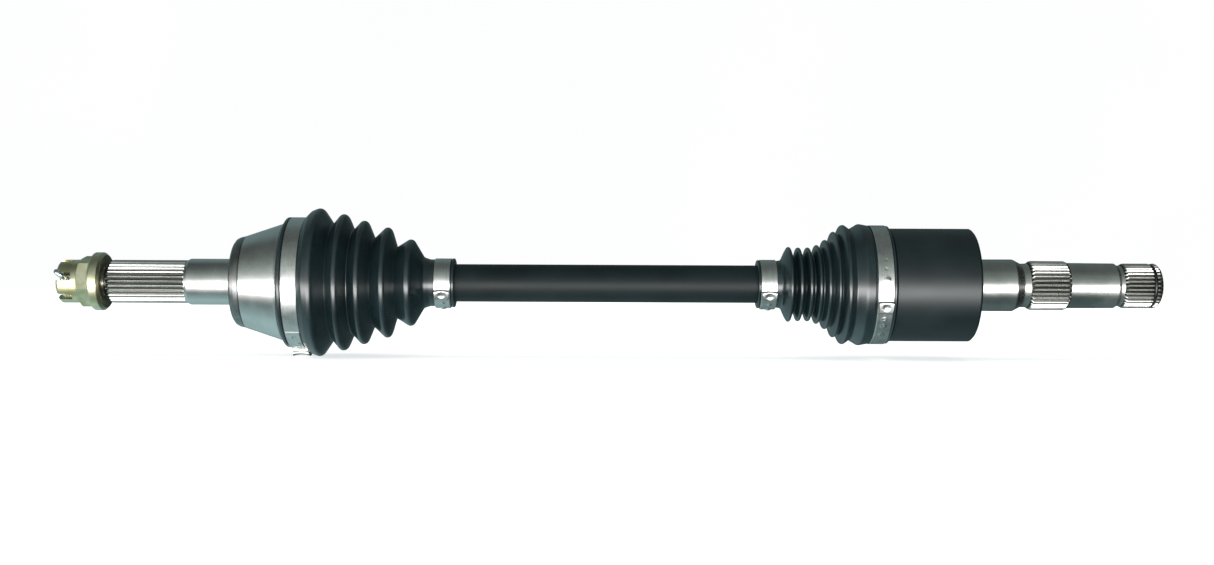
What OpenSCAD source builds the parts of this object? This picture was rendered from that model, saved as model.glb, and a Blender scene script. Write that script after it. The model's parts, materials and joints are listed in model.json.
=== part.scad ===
// Drive axle with two constant velocity ball joints, in millimetres.
// The axle lies along X. The origin is on its axis, at the shoulder between the outer stub
// and the outer joint cup. +X points to the inner joint and +Z is up.
// Azimuths are counted round the axle from -Y, positive towards +Z.

/* [Outer stub] */
// Radius of the hub bearing seat
hub_seat_r = 13.8; // [13.3:0.1:14.4]
// Length of the hub bearing seat
hub_seat_len = 26.1; // [24:0.1:30]
// Tip radius of the hub spline
hub_spline_r = 12.9; // [12.5:0.1:13.2]
// Number of hub spline teeth
hub_teeth = 27; // [22:1:32]
// Distance from the shoulder to the castle nut's bearing face
hub_stack = 77.5; // [75:0.5:82]
// Radius of the thread under the castle nut
thread_r = 9; // [8.5:0.1:9.5]

/* [Castle nut] */
// Width across the flats
nut_flats = 27; // [26:0.5:30]
// Whole length of the nut
nut_len = 26.8; // [25:0.2:30]
// Radius of the nut's flange
nut_flange_r = 17.4; // [16.5:0.1:19]
// Length of the flange and of the hexagon together
nut_hex_len = 15; // [13:0.2:16]
// Radius of the slotted crown
nut_crown_r = 12.9; // [12:0.1:13.2]
// Width of the six crown slots
nut_slot_w = 4.6; // [4.2:0.1:5]
// Azimuth of the flat that faces the split pin's eye
nut_azimuth = 13; // [-30:1:30]

/* [Outer joint] */
// Axial place of the outer joint's centre
outer_center = 32; // [31.5:0.1:33]
// Pitch radius of the outer joint's balls
outer_pitch_r = 24.5; // [24.4:0.1:24.8]
// Radius of an outer joint ball
outer_ball_r = 6.747; // [6.6:0.01:6.76]
// Radius of the outer cup at the boot seat
outer_seat_r = 36; // [35.6:0.1:36.2]
// Largest bend of the outer joint about each hinge axis, in degrees
outer_bend = 30; // [20:1:30]

/* [Inner joint] */
// Axial place of the inner joint's centre at mid travel
inner_center = 405.5; // [403.5:0.5:406.5]
// Pitch radius of the inner joint's balls
inner_pitch_r = 23; // [22.6:0.1:23.2]
// Radius of an inner joint ball
inner_ball_r = 6.747; // [6.6:0.01:6.8]
// Outer radius of the inner joint cup
inner_cup_r = 33.75; // [33.5:0.05:35]
// Axial place of the inner cup's closed end
inner_cup_end = 439.7; // [438.5:0.1:442]
// Largest bend of the inner joint about each hinge axis, in degrees
inner_bend = 15; // [10:1:15]

/* [Inner stub] */
// Radius of the seal journal next to the inner cup
seal_journal_r = 15.6; // [15.2:0.1:16]
// Tip radius of the long spline
side_spline_r = 14.6; // [14.2:0.1:15]
// Tip radius of the end spline
end_spline_r = 13.4; // [13.2:0.1:13.6]
// Number of teeth on both inner stub splines
side_teeth = 33; // [28:1:36]
// Axial place of the inner stub's end
stub_end = 552; // [550:0.5:556]

/* [Bar shaft] */
// Radius of the bar between the boots
bar_r = 11.25; // [10.8:0.05:11.3]
// Radius of the necks inside the boots
neck_r = 9.7; // [9.4:0.1:9.8]
// Tip radius of the splines that carry the inner races
race_spline_r = 10; // [9.9:0.05:10.1]
// Number of teeth on those splines
race_teeth = 24; // [20:1:28]

/* [Boots and clamps] */
// Wall of the rubber boots
boot_wall = 1.8; // [1.6:0.1:2.2]
// Thickness of the clamp bands
band_t = 0.6; // [0.4:0.1:0.8]
// Width of the large clamp bands
large_band_w = 9.2; // [8.5:0.1:10]
// Width of the small clamp bands
small_band_w = 9.4; // [8.5:0.1:10]

/* [Hidden] */

// Smoothness of turned and small round shapes
turn_fn = 96;
small_fn = 32;
// Gaps: between parts of one body, and between parts that move past each other
snug = 0.05;
free = 0.3;
// How far a cutting shape reaches past the face that it opens
over = 1;

// The balls share the joint evenly
ball_count = 6;
ball_step = 360 / ball_count;

// A ball leaves its own meridian by this much when the joint bends about one axis
function ball_drift(pitch_r, bend) = pitch_r * sin(ball_step) / 2 * (1 - cos(bend));

// Outer joint: radii that follow from the balls
outer_track_r = outer_ball_r + ball_drift(outer_pitch_r, outer_bend) + 0.15;
outer_track_end = outer_bend + asin(outer_ball_r / outer_pitch_r) + 0.5;
outer_race_r = outer_pitch_r - 3;
outer_cage_in_r = outer_race_r + free;
outer_cage_out_r = outer_pitch_r + 2.4;
outer_bowl_r = outer_cage_out_r + free;
outer_cage_half = 11.2;
outer_race_half = 10.5;
outer_mouth = outer_center + 12;

// Inner joint: radii that follow from the balls
inner_track_r = inner_ball_r + ball_drift(inner_pitch_r, inner_bend) + 0.15;
inner_race_r = inner_pitch_r - 2.7;
inner_cage_in_r = inner_race_r + free;
inner_cage_out_r = inner_pitch_r + 2.3;
inner_bore_r = inner_cage_out_r + free;
inner_cage_half = 10.5;
inner_race_half = 10;
inner_mouth = 376.5;
inner_seat_r = inner_cup_r - 0.75;
inner_seat_end = 391.5;
inner_bore_end = inner_cup_end - 8.2;
inner_track_len = 50;

// Ends of the bar, where a circlip and a stop ring hold each race
race_gap = 0.1;
race_tooth = 1;
ring_t = 1.4;
ring_r = 12.2;
bar_overhang = 3.4;
bar_end_out = outer_center - outer_race_half - bar_overhang;
bar_end_in = inner_center + inner_race_half + bar_overhang;
neck_reach = 46;
taper_len = 12;

// Castle nut and thread along X
nut_face = -hub_stack;
nut_hex_end = nut_face - nut_hex_len;
nut_crown_end = nut_face - nut_len;
nut_flange_len = 8.6;
nut_corner_r = nut_flats / 2 / cos(30);
nut_slot_depth = 9;
pin_x = nut_crown_end + 4.6;
pin_r = 1.9;

// Hub spline: depth of a tooth, and the plain thread left between it and the nut's face
hub_tooth = 1.4;
hub_spline_gap = 2.2;

// Inner stub: its two splines along X, and the groove for the snap ring
side_spline = [473.9, 496.5];
side_tooth = 1.5;
end_spline_start = 529.8;
end_tooth = 1.3;
snap_x = stub_end - 4.7;
snap_groove_half = 0.9;

// Boots: ends of the small cuffs along X, the large ends' lips, and the cuffs' radius
outer_small_cuff = [113.5, 129.9];
inner_small_cuff = [312.3, 326.7];
outer_lip = 30.8;
inner_lip = 391.1;
cuff_r = 14;
// Thickness of the boots where the large clamps hold them
outer_seat_wall = 2.1;
inner_seat_wall = 1.9;

// Crests and valleys of the folds in turn, as [x, radius]
outer_folds = [
  [51.5, 44.4], [58.7, 34.5], [65.3, 41.3], [70.6, 31.2], [77.5, 37.4], [83, 26.3],
  [91.7, 33.4], [96.4, 21.2], [105.6, 26.1]
];
inner_folds = [
  [330.9, 22.8], [333.9, 16], [336.6, 22.8], [339.5, 16], [342.3, 22.8], [345.1, 16.6],
  [347.5, 24], [349.8, 21], [352.4, 27], [354.7, 24.4], [357.5, 31.7], [359.3, 29.4],
  [362.5, 35.9], [366.9, 33.2], [372.3, 36.3]
];

// Middle of each clamp band along X, and its ear as [azimuth, length round the band, height]
outer_large_clamp_x = 38.6;
outer_large_ear = [-93, 9, 5.4];
outer_small_clamp_x = 122.7;
inner_small_clamp_x = 318.9;
small_ear = [-26, 7, 2.8];
inner_large_clamp_x = 383.1;
inner_large_ear = [-21, 8.4, 3.2];

// Point lists are [x, radius]; the body is turned about X
module turned(points) {
  rotate([0, 90, 0])
    rotate_extrude($fn = turn_fn)
      polygon([for (p = points) [p[1], p[0]]]);
}

module ring(x0, x1, r_in, r_out) {
  turned([[x0, r_in], [x0, r_out], [x1, r_out], [x1, r_in]]);
}

// A straight-sided spline from x0 to x1, with its tooth tips at r_tip
module spline(x0, x1, r_tip, depth, teeth) {
  pitch = 360 / teeth;
  root = 0.27 * pitch;
  tip = 0.14 * pitch;
  translate([x0, 0, 0])
    rotate([90, 0, 90])
      linear_extrude(x1 - x0)
        polygon([
          for (i = [0:teeth - 1])
            for (c = [[-root, r_tip - depth], [-tip, r_tip], [tip, r_tip], [root, r_tip - depth]])
              [c[1] * cos(i * pitch + c[0]), c[1] * sin(i * pitch + c[0])]
        ]);
}

// Children drawn towards +Z are turned to an azimuth round the axle
module at_azimuth(azimuth) {
  rotate([90 - azimuth, 0, 0])
    children();
}

// A ball track of radius r in the plane of one ball, reaching the angle given each way
module arc_track(center, pitch_r, r, reach, azimuth) {
  translate([center, 0, 0])
    at_azimuth(azimuth)
      rotate([90, 0, 0])
        rotate([0, 0, 90 - reach])
          rotate_extrude(angle = 2 * reach, $fn = turn_fn)
            translate([pitch_r, 0])
              circle(r = r, $fn = turn_fn);
}

module ball_at(center, pitch_r, r, number) {
  translate([center, 0, 0])
    at_azimuth(ball_step * number)
      translate([0, 0, pitch_r])
        sphere(r = r, $fn = turn_fn);
}

// Races and cages are drawn half a ball step round, which keeps the spheres' seams off the
// tracks and windows, and are turned back to the balls by this
module half_step_back() {
  rotate([ball_step / 2, 0, 0])
    children();
}

// The race between its two faces, with a full ring track for each pair of opposite balls
module ball_race(center, half, race_r, pitch_r, track_r) {
  half_step_back()
    difference() {
      intersection() {
        translate([center, 0, 0])
          sphere(r = race_r, $fn = turn_fn);
        ring(center - half, center + half, 0, race_r + 1);
      }
      for (i = [0:ball_count / 2 - 1])
        translate([center, 0, 0])
          at_azimuth(ball_step * (i + 0.5))
            rotate([90, 0, 0])
              rotate_extrude($fn = turn_fn)
                translate([pitch_r, 0])
                  circle(r = track_r, $fn = turn_fn);
      spline(center - half - over, center + half + over, race_spline_r + snug, race_tooth,
             race_teeth);
    }
}

// The ball cage: a spherical band with one window for each ball
module ball_cage(center, half, in_r, out_r, ball_r) {
  window = 2 * ball_r + 0.3;
  side = 2 * ball_r + 1.4;
  corner = 2.5;
  half_step_back()
    difference() {
      intersection() {
        translate([center, 0, 0])
          sphere(r = out_r, $fn = turn_fn);
        ring(center - half, center + half, 0, out_r + 1);
      }
      translate([center, 0, 0])
        sphere(r = in_r, $fn = turn_fn);
      for (i = [0:ball_count - 1])
        translate([center, 0, 0])
          at_azimuth(ball_step * (i + 0.5))
            translate([0, 0, in_r - 6])
              rounded_bar(window, side, out_r - in_r + 12, corner);
    }
}

module rounded_bar(len_x, len_y, height, corner) {
  inner_x = len_x - 2 * corner;
  inner_y = len_y - 2 * corner;
  translate([-len_x / 2, -inner_y / 2, 0])
    cube([len_x, inner_y, height]);
  translate([-inner_x / 2, -len_y / 2, 0])
    cube([inner_x, len_y, height]);
  for (sx = [-1, 1])
    for (sy = [-1, 1])
      translate([sx * inner_x / 2, sy * inner_y / 2, 0])
        cylinder(r = corner, h = height, $fn = small_fn);
}

// An open ring of round wire in a groove, with its gap at the azimuth given
module wire_ring(x, r, wire_r, gap, azimuth) {
  translate([x, 0, 0])
    rotate([0, 90, 0])
      rotate([0, 0, azimuth + gap / 2])
        rotate_extrude(angle = 360 - gap, $fn = turn_fn)
          translate([r, 0])
            circle(r = wire_r, $fn = small_fn);
}

// A clamp band with a pinched ear, [azimuth, length, height over the hole], hollow inside
module ear_clamp(x, width, r_in, ear) {
  ear_w = width - 0.6;
  wall = 2 * band_t;
  floor_r = r_in + band_t + 0.3;
  roof_r = r_in + ear[2];
  difference() {
    union() {
      ring(x - width / 2, x + width / 2, 0, r_in + band_t);
      at_azimuth(ear[0])
        translate([x - ear_w / 2, -ear[1] / 2, 0])
          cube([ear_w, ear[1], roof_r]);
    }
    ring(x - width / 2 - over, x + width / 2 + over, 0, r_in);
    at_azimuth(ear[0])
      translate([x - width / 2, wall - ear[1] / 2, floor_r])
        cube([width, ear[1] - 2 * wall, roof_r - 0.8 * wall - floor_r]);
  }
}

module castle_nut() {
  color("darkkhaki")
    difference() {
      union() {
        turned([
          [nut_face, thread_r + snug], [nut_face, nut_flange_r - 0.8],
          [nut_face - 0.8, nut_flange_r], [nut_face - 5.2, nut_flange_r],
          [nut_face - nut_flange_len, 14.6], [nut_hex_end, nut_flats / 2 - 0.2],
          [nut_hex_end, nut_crown_r], [nut_crown_end + 1.4, nut_crown_r],
          [nut_crown_end, nut_crown_r - 1.4], [nut_crown_end, thread_r + snug]
        ]);
        intersection() {
          at_azimuth(nut_azimuth)
            rotate([30, 0, 0])
              translate([nut_hex_end, 0, 0])
                rotate([0, 90, 0])
                  cylinder(r = nut_corner_r, h = nut_hex_len - 3, $fn = 6);
          turned([
            [nut_hex_end, thread_r + snug], [nut_hex_end, nut_flats / 2 - 0.2],
            [nut_hex_end + 1.4, nut_corner_r], [nut_face - 2, nut_corner_r],
            [nut_face - 2, thread_r + snug]
          ]);
        }
      }
      rotate([0, 90, 0])
        translate([0, 0, nut_crown_end - over])
          cylinder(r = thread_r + snug, h = nut_len + 2 * over, $fn = turn_fn);
      for (i = [0:2])
        at_azimuth(nut_azimuth + 60 * i)
          translate([nut_crown_end - over, -nut_slot_w / 2, -nut_flange_r])
            cube([nut_slot_depth + over, nut_slot_w, 2 * nut_flange_r]);
    }
}

// The split pin: a shank through the stub, an eye outside the crown and two bent legs
module split_pin() {
  eye_r = 2.6;
  wire_r = 1.05;
  leg_r = 1.2;
  color("silver")
    at_azimuth(nut_azimuth)
      translate([pin_x, 0, 0]) {
        translate([0, 0, -15])
          cylinder(r = pin_r, h = 29.2, $fn = small_fn);
        translate([0, 0, 14 + eye_r])
          rotate([0, 0, 38])
            rotate([90, 0, 0])
              rotate_extrude($fn = turn_fn)
                translate([eye_r, 0])
                  circle(r = wire_r, $fn = small_fn);
        for (side = [-1, 1])
          translate([0, 0, -14.2])
            rotate([0, side * 96, 0])
              translate([0, 0, 0.4])
                cylinder(r = leg_r, h = side < 0 ? 7.5 : 5.5, $fn = small_fn);
      }
}

module outer_joint_housing() {
  spline_start = nut_face + hub_spline_gap;
  spline_end = -hub_seat_len - 1.2;
  color("lightsteelblue")
    difference() {
      union() {
        turned([
          [nut_crown_end + 1, 0], [nut_crown_end + 1, thread_r - 1],
          [nut_crown_end + 2, thread_r], [spline_start, thread_r],
          [spline_start, hub_spline_r - hub_tooth], [spline_end, hub_spline_r - hub_tooth],
          [-hub_seat_len, hub_seat_r], [0, hub_seat_r], [0, 22.6], [0.7, 24.4],
          [1.9, 26], [4, 26.9], [7, 27.7], [outer_lip - 0.5, 35.6],
          [outer_lip - 0.3, outer_seat_r],
          [outer_mouth, outer_seat_r], [outer_mouth, 0]
        ]);
        spline(spline_start + 0.4, spline_end, hub_spline_r, hub_tooth, hub_teeth);
      }
      translate([outer_center, 0, 0])
        sphere(r = outer_bowl_r, $fn = turn_fn);
      turned([
        [outer_center + 6, 0], [outer_center + 6, 24.6], [outer_mouth + over, 24.9],
        [outer_mouth + over, 0]
      ]);
      for (i = [0:ball_count - 1])
        arc_track(outer_center, outer_pitch_r, outer_track_r, outer_track_end,
                  ball_step * i);
      at_azimuth(nut_azimuth)
        translate([pin_x, 0, -20])
          cylinder(r = pin_r + 0.15, h = 40, $fn = small_fn);
    }
}

module outer_inner_race() {
  color("silver")
    ball_race(outer_center, outer_race_half, outer_race_r, outer_pitch_r, outer_track_r);
}

module outer_cage() {
  color("gray")
    ball_cage(outer_center, outer_cage_half, outer_cage_in_r, outer_cage_out_r,
              outer_ball_r);
}

module outer_ball(number) {
  color("white")
    ball_at(outer_center, outer_pitch_r, outer_ball_r, number);
}

// Rings in the bar's grooves, one on each face of an inner race
module race_ring(x) {
  gap = 3;
  color("dimgray")
    difference() {
      ring(x, x + ring_t, neck_r - 0.7, ring_r);
      at_azimuth(-90)
        translate([x - over, -gap / 2, 0])
          cube([ring_t + 2 * over, gap, ring_r + over]);
    }
}

module outer_race_circlip() {
  race_ring(outer_center - outer_race_half - race_gap - ring_t);
}

module outer_stop_ring() {
  race_ring(outer_center + outer_race_half + race_gap);
}

// The inner skin of a row of folds, from the last fold back to the first
function inner_skin(folds) =
  [for (i = [len(folds) - 1:-1:0]) [folds[i][0], folds[i][1] - boot_wall]];

module outer_boot() {
  seat = outer_seat_r + free;
  top = outer_seat_r + outer_seat_wall;
  root_r = 20.5;
  color([0.1, 0.12, 0.13])
    turned(concat(
      [[outer_lip, seat], [outer_lip, top], [43.7, top]],
      outer_folds,
      [
        [109.5, root_r], [outer_small_cuff[0], cuff_r], [outer_small_cuff[1], cuff_r],
        [outer_small_cuff[1], bar_r + snug], [outer_small_cuff[0] - 1, bar_r + snug],
        [108.5, root_r - boot_wall - 1]
      ],
      inner_skin(outer_folds),
      [[44.9, seat]]
    ));
}

module inner_boot() {
  seat = inner_seat_r + free;
  top = inner_seat_r + inner_seat_wall;
  color([0.1, 0.12, 0.13])
    turned(concat(
      [
        [inner_small_cuff[0], bar_r + snug], [inner_small_cuff[0], cuff_r],
        [inner_small_cuff[1], cuff_r]
      ],
      inner_folds,
      [[377.1, top], [inner_lip, top], [inner_lip, seat], [375.5, seat]],
      inner_skin(inner_folds),
      [[inner_small_cuff[1] + 0.4, bar_r + snug]]
    ));
}

module outer_large_clamp() {
  color("gainsboro")
    ear_clamp(outer_large_clamp_x, large_band_w, outer_seat_r + outer_seat_wall + free,
              outer_large_ear);
}

module outer_small_clamp() {
  color("gainsboro")
    ear_clamp(outer_small_clamp_x, small_band_w, cuff_r + snug, small_ear);
}

module inner_small_clamp() {
  color("gainsboro")
    ear_clamp(inner_small_clamp_x, small_band_w, cuff_r + snug, small_ear);
}

module inner_large_clamp() {
  color("gainsboro")
    ear_clamp(inner_large_clamp_x, large_band_w, inner_seat_r + inner_seat_wall + free,
              inner_large_ear);
}

module axle_bar() {
  a = outer_center + outer_race_half;
  b = inner_center - inner_race_half;
  groove = ring_t + 0.2;
  floor_r = neck_r - 0.8;
  root_r = race_spline_r - race_tooth;
  color([0.08, 0.09, 0.1])
    difference() {
      union() {
        turned([
          [bar_end_out, 0], [bar_end_out, root_r], [a, root_r],
          [a, neck_r], [outer_center + neck_reach, neck_r],
          [outer_center + neck_reach + taper_len, bar_r],
          [inner_center - neck_reach - taper_len, bar_r],
          [inner_center - neck_reach, neck_r], [b, neck_r],
          [b, root_r], [bar_end_in, root_r], [bar_end_in, 0]
        ]);
        spline(bar_end_out + 0.6, a + 0.5, race_spline_r, race_tooth, race_teeth);
        spline(b - 0.5, bar_end_in - 0.6, race_spline_r, race_tooth, race_teeth);
      }
      ring(outer_center - outer_race_half - groove, outer_center - outer_race_half,
           floor_r, ring_r);
      ring(a, a + groove, floor_r, ring_r);
      ring(b - groove, b, floor_r, ring_r);
      ring(inner_center + inner_race_half, inner_center + inner_race_half + groove,
           floor_r, ring_r);
    }
}

module inner_joint_housing() {
  end = inner_cup_end;
  groove_r = 13.2;
  color([0.09, 0.1, 0.11])
    difference() {
      union() {
        turned([
          [inner_mouth, 0], [inner_mouth, inner_seat_r], [inner_seat_end, inner_seat_r],
          [inner_seat_end + 0.8, inner_cup_r], [end - 1.2, inner_cup_r],
          [end, inner_cup_r - 1.2], [end, seal_journal_r + 0.6],
          [end + 0.6, seal_journal_r], [465.3, seal_journal_r], [468.3, groove_r],
          [496.1, groove_r], [497.5, 13.9], [502.5, 13.5], [525.9, 13.2], [526.7, 12.3],
          [stub_end - 0.8, end_spline_r - 1.3], [stub_end, end_spline_r - 2.2],
          [stub_end, 0]
        ]);
        spline(side_spline[0], side_spline[1], side_spline_r, side_tooth, side_teeth);
        intersection() {
          spline(end_spline_start, stub_end, end_spline_r, end_tooth, side_teeth);
          turned([
            [end_spline_start - 0.3, 0], [end_spline_start - 0.3, 12.2],
            [end_spline_start + 1.1, end_spline_r + 0.1],
            [stub_end - 1.6, end_spline_r + 0.1], [stub_end, end_spline_r - 1.6],
            [stub_end, 0]
          ]);
        }
      }
      turned([
        [inner_mouth - over, 0], [inner_mouth - over, inner_bore_r + 1.6],
        [inner_mouth + 1.4, inner_bore_r], [inner_bore_end - 5, inner_bore_r],
        [inner_bore_end, inner_bore_r - 9], [inner_bore_end, 0]
      ]);
      ring(inner_mouth + 2.6, inner_mouth + 5, inner_bore_r - 1, inner_bore_r + 1.1);
      for (i = [0:ball_count - 1])
        at_azimuth(ball_step * i)
          translate([inner_mouth - over, 0, inner_pitch_r])
            rotate([0, 90, 0])
              cylinder(r = inner_track_r, h = inner_track_len, $fn = turn_fn);
      ring(snap_x - snap_groove_half, snap_x + snap_groove_half, end_spline_r - 1.7,
           end_spline_r + over);
    }
}

module inner_inner_race() {
  color("silver")
    ball_race(inner_center, inner_race_half, inner_race_r, inner_pitch_r, inner_track_r);
}

module inner_cage() {
  color("gray")
    ball_cage(inner_center, inner_cage_half, inner_cage_in_r, inner_cage_out_r,
              inner_ball_r);
}

module inner_ball(number) {
  color("white")
    ball_at(inner_center, inner_pitch_r, inner_ball_r, number);
}

module inner_race_circlip() {
  race_ring(inner_center + inner_race_half + race_gap);
}

module inner_stop_ring() {
  race_ring(inner_center - inner_race_half - race_gap - ring_t);
}

// The wire ring that keeps the balls and cage in the inner cup
module cup_retaining_ring() {
  color("silver")
    wire_ring(inner_mouth + 3.8, inner_bore_r - 0.2, 1.1, 24, 0);
}

// The round wire ring that snaps the end spline into its gear
module stub_snap_ring() {
  color([0.12, 0.12, 0.13])
    wire_ring(snap_x, end_spline_r - 0.8, 0.8, 20, 180);
}

castle_nut();
split_pin();
outer_joint_housing();
outer_inner_race();
outer_cage();
outer_race_circlip();
outer_stop_ring();
outer_ball(1);  // outer_ball_1
outer_ball(2);  // outer_ball_2
outer_ball(3);  // outer_ball_3
outer_ball(4);  // outer_ball_4
outer_ball(5);  // outer_ball_5
outer_ball(6);  // outer_ball_6
outer_boot();
outer_large_clamp();
outer_small_clamp();
axle_bar();
inner_small_clamp();
inner_boot();
inner_large_clamp();
inner_joint_housing();
inner_inner_race();
inner_cage();
inner_race_circlip();
inner_stop_ring();
inner_ball(1);  // inner_ball_1
inner_ball(2);  // inner_ball_2
inner_ball(3);  // inner_ball_3
inner_ball(4);  // inner_ball_4
inner_ball(5);  // inner_ball_5
inner_ball(6);  // inner_ball_6
cup_retaining_ring();
stub_snap_ring();
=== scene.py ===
"""Looks of a drive axle with two ball joints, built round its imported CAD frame.

Outlines are in millimetres, as [place along X, radius from the axle's axis, rounding of that corner].
Azimuths are in degrees round the axle, from -Y, positive towards +Z.
"""

import json
import math

import bmesh
import bpy
import numpy as np
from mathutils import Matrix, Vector


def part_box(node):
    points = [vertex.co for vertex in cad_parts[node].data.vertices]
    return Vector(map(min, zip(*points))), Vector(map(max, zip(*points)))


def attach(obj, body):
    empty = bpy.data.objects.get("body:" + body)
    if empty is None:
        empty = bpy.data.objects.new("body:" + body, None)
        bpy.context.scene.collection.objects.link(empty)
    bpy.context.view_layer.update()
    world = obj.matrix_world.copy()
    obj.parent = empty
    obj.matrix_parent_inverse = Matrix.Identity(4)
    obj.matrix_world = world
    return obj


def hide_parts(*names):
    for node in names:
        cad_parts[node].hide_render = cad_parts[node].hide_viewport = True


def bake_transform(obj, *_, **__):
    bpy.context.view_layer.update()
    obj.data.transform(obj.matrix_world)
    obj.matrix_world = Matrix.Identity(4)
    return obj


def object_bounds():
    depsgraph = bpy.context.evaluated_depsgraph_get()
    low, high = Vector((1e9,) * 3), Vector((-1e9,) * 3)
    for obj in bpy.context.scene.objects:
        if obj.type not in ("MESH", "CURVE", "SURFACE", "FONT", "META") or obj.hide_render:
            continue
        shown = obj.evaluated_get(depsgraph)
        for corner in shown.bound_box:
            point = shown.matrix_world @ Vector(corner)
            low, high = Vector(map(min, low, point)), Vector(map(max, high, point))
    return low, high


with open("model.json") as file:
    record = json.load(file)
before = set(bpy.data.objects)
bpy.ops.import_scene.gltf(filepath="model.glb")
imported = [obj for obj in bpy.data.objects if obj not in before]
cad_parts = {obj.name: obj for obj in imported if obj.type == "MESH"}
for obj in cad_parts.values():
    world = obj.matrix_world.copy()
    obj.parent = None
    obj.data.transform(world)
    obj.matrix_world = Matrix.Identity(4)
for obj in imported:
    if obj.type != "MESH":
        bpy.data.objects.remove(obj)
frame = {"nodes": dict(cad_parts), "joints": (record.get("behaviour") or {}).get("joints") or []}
cad_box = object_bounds()

MM = 0.001
TAU = 2 * math.pi
SHARP = math.radians(34)
# A corner rounded by this much or more is moved out first, so that its arc passes through the point given.
ROUND_THROUGH = 1.0
joints = {j["name"]: j for j in frame["joints"]}


# ---------------------------------------------------------------- outlines

def low(node):
    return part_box(node)[0] / MM


def high(node):
    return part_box(node)[1] / MM


def joint_x(name):
    return joints[name]["pos_m"][0] / MM


def corner(before, point, after):
    """The ways from a corner to its neighbours, and half the angle between them."""
    a, b = (before - point).normalized(), (after - point).normalized()
    return a, b, a.angle(b) / 2


def corner_arc(before, point, after, radius, steps):
    """Points of the arc that rounds a corner, made smaller where a neighbour is too near."""
    a, b, half = corner(before, point, after)
    room = 0.48 * min((before - point).length, (after - point).length)
    reach = min(radius / math.tan(half), room)
    r = reach * math.tan(half)
    centre = point + (a + b).normalized() * (r / math.sin(half))
    start, end = point + a * reach - centre, point + b * reach - centre
    turn = start.angle_signed(end)
    made = []
    for k in range(steps + 1):
        angle = -turn * k / steps
        c, s = math.cos(angle), math.sin(angle)
        made.append(centre + Vector((start.x * c - start.y * s, start.x * s + start.y * c)))
    return made


def rounded(outline, steps=7):
    """The outline's points with each corner replaced by an arc of its rounding."""
    points = [Vector(p[:2]) for p in outline]
    radii = [p[2] if len(p) > 2 else 0 for p in outline]
    radii[0] = radii[-1] = 0
    corners = [p.copy() for p in points]
    for i, radius in enumerate(radii):
        if radius >= ROUND_THROUGH:
            a, b, half = corner(*points[i - 1:i + 2])
            if half < math.radians(88):
                corners[i] -= (a + b).normalized() * radius * (1 / math.sin(half) - 1)
    made = []
    for i, radius in enumerate(radii):
        if radius > 0:
            made.extend(corner_arc(*corners[i - 1:i + 2], radius, steps))
        else:
            made.append(corners[i])
    return np.array([[p.x, max(p.y, 0.0)] for p in made])


def with_stations(line, places):
    """The line with a point added at each place along X."""
    line = [list(p) for p in line]
    for x in places:
        for i in range(len(line) - 1):
            (xa, ra), (xb, rb) = line[i], line[i + 1]
            if xa + 1e-6 < x < xb - 1e-6:
                line.insert(i + 1, [x, ra + (rb - ra) * (x - xa) / (xb - xa)])
                break
    return np.array(line)


def azimuths(count):
    return np.arange(count) * TAU / count


def skin(line, count):
    """Radii of a round skin along a line, one row for each of its points."""
    return line[:, 0], np.repeat(line[:, 1][:, None], count, axis=1)


def groove_shape(count, teeth):
    """From 0 on a spline's teeth to 1 in the spaces between them, round the axle, with rounded flanks."""
    wave = (1 - np.cos(azimuths(count) * teeth)) / 2
    return wave**0.8


def cut_spline(xs, radii, teeth, roots):
    """Cuts the spaces between a spline's teeth down to roots, a list of [x, radius]."""
    places, floors = zip(*roots, strict=True)
    inside = (xs >= places[0] - 1e-6) & (xs <= places[-1] + 1e-6)
    depth = np.clip(radii[:, 0] - np.interp(xs, places, floors), 0, None) * inside
    return radii - depth[:, None] * groove_shape(radii.shape[1], teeth)[None, :]


# ---------------------------------------------------------------- meshes

def new_object(name, verts, faces):
    mesh = bpy.data.meshes.new(name)
    mesh.from_pydata([tuple(v) for v in verts], [], faces)
    made = bpy.data.objects.new(name, mesh)
    bpy.context.scene.collection.objects.link(made)
    return made


def new_piece(name, verts, faces):
    """A closed piece with smooth shading and sharp edges."""
    piece = new_object(name, verts, faces)
    piece.data.validate()
    face_outwards(piece)
    piece.data.polygons.foreach_set("use_smooth", [True] * len(piece.data.polygons))
    piece.data.set_sharp_from_angle(angle=SHARP)
    return piece


def face_outwards(piece):
    bm = bmesh.new()
    bm.from_mesh(piece.data)
    bmesh.ops.recalc_face_normals(bm, faces=bm.faces)
    bm.to_mesh(piece.data)
    bm.free()


def around(xs, radii, loop=False):
    """Vertices and faces of a skin round the axle: one ring per place, or one point where its radius is 0."""
    count = radii.shape[1]
    angles = azimuths(count)
    verts, rings, faces = [], [], []
    for x, row in zip(xs, radii, strict=True):
        if row.max() < 1e-6:
            rings.append([len(verts)] * count)
            verts.append((x * MM, 0.0, 0.0))
            continue
        rings.append(list(range(len(verts), len(verts) + count)))
        ys, zs = -row * np.cos(angles) * MM, row * np.sin(angles) * MM
        verts.extend(zip([x * MM] * count, ys, zs, strict=True))
    pairs = list(zip(rings, rings[1:], strict=False))
    if loop:
        pairs.append((rings[-1], rings[0]))
    for a, b in pairs:
        for j in range(count):
            k = (j + 1) % count
            corners = [a[j], a[k], b[k], b[j]]
            faces.append(tuple(dict.fromkeys(corners)))
    return verts, faces





def join(name, parts):
    """One piece from several lists of vertices and faces."""
    verts, faces = [], []
    for v, f in parts:
        base = len(verts)
        verts.extend(v)
        faces.extend(tuple(i + base for i in face) for face in f)
    return new_piece(name, verts, faces)


# ---------------------------------------------------------------- the two joint housings

TRACKS = 6
HUB_TEETH, STUB_TEETH = 27, 33
# Radii at the roots and the tips of each spline's teeth.
HUB_SPLINE, LONG_SPLINE, END_SPLINE = (11.4, 12.9), (13.1, 14.6), (12.1, 13.4)
JOURNAL_R = 15.5


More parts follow.
